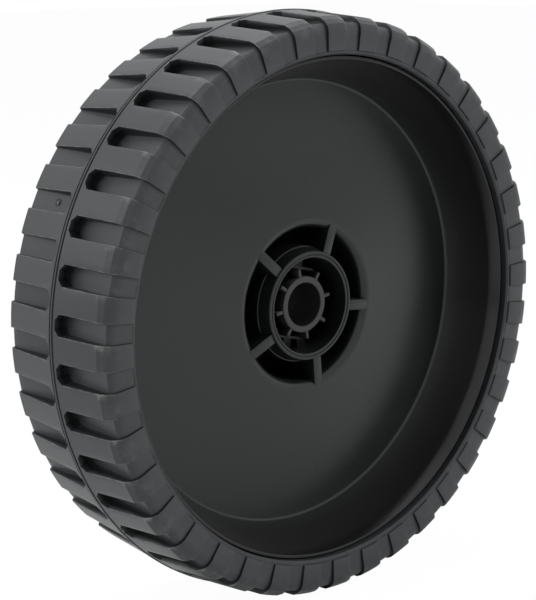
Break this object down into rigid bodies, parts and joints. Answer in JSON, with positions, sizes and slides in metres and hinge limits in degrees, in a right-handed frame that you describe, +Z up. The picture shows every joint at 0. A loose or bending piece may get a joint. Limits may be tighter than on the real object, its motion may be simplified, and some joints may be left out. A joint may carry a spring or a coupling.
{
  "type": "lawn mower wheel",
  "caption": "Moulded mower wheel: a lugged tyre with staggered slots on a dished rim and disc, a ribbed hub well and a plain axle bush, made to turn on a fixed axle.",
  "frame": {"origin": "the wheel's centre: the axle line at the middle of the tyre's width", "axes": "+Y along the axle line, away from the dished face; +Z up; +X to the right seen from the dished face"},
  "size_m": [0.17, 0.044, 0.17],
  "materials": {
    "tyre": "matte, with pale scuffs on the lug edges",
    "wheel_plastic": "satin, semi-gloss on the rim's inner wall",
    "bush_plastic": "satin"
  },
  "bodies": {
    "root": {"tyre": "tyre", "wheel_body": "wheel_plastic", "axle_bush": "bush_plastic"}
  },
  "joints": []
}
